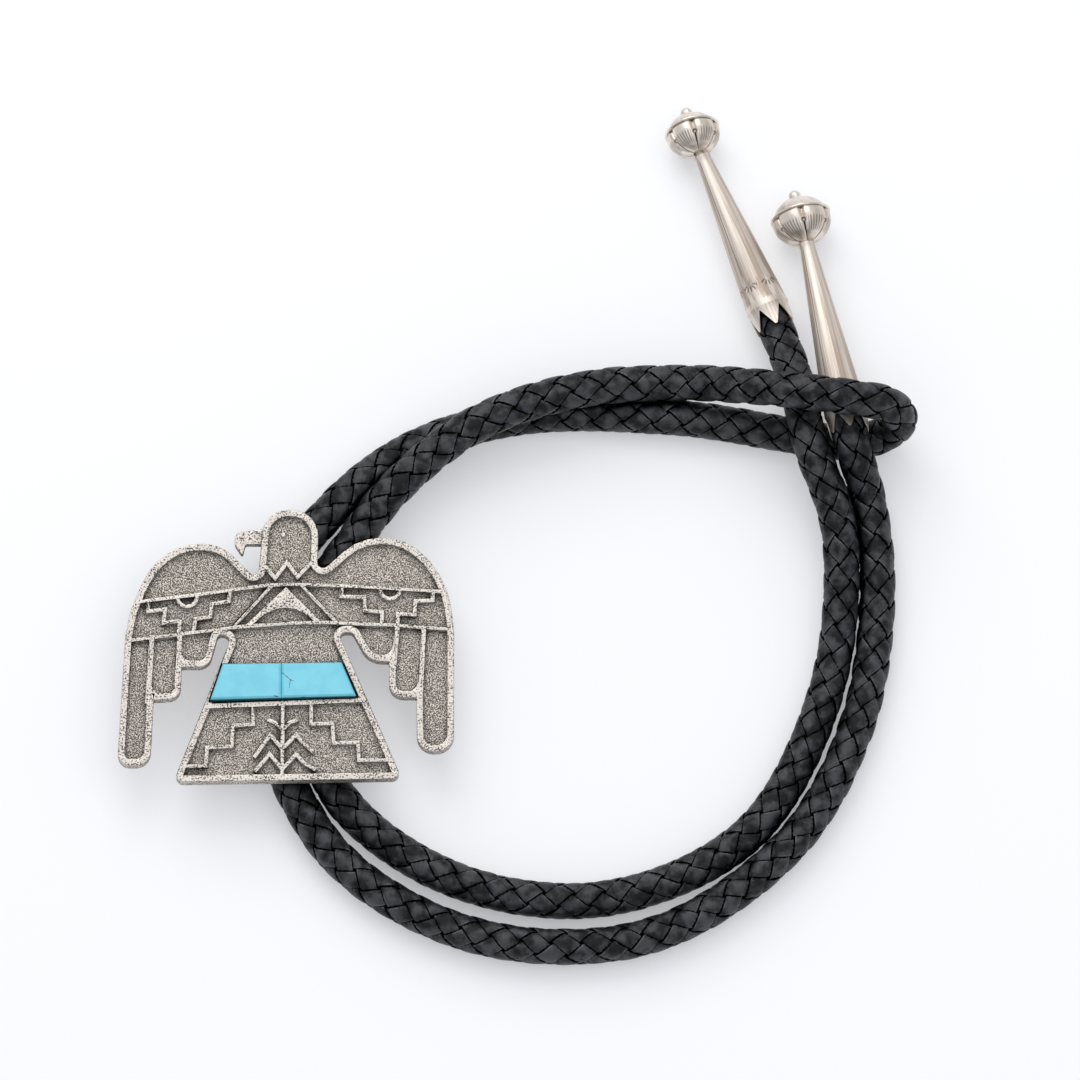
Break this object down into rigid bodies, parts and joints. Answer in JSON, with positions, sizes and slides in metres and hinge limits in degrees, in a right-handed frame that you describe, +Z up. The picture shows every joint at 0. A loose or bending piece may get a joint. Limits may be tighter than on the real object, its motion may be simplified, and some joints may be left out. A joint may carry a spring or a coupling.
{
  "type": "bolo tie",
  "caption": "Cast metal thunderbird slide with an inlaid band of stone, on a braided leather cord with pointed ball-ended metal tips, lying looped on a surface.",
  "frame": {"origin": "middle of the back clasp's underside, on the surface that the tie lies on", "axes": "+X across the slide to the cord's loop, +Y from the slide's tail to its head, +Z up from the surface"},
  "size_m": [0.1795, 0.2001, 0.0268],
  "materials": {
    "cast_silver": "cast silver, darkened in its floors and polished on its lines",
    "turquoise": "polished, with a few dark hairlines",
    "nickel": "plain bent sheet, satin",
    "leather": "black, braided, slightly glossy",
    "polished_silver": "polished sheet silver with darkened stamps"
  },
  "bodies": {
    "root": {"slide_plate": "cast_silver", "turquoise_left": "turquoise", "turquoise_right": "turquoise", "back_clasp": "nickel", "braided_cord": "leather", "tip_left": "polished_silver", "tip_right": "polished_silver"}
  },
  "joints": []
}
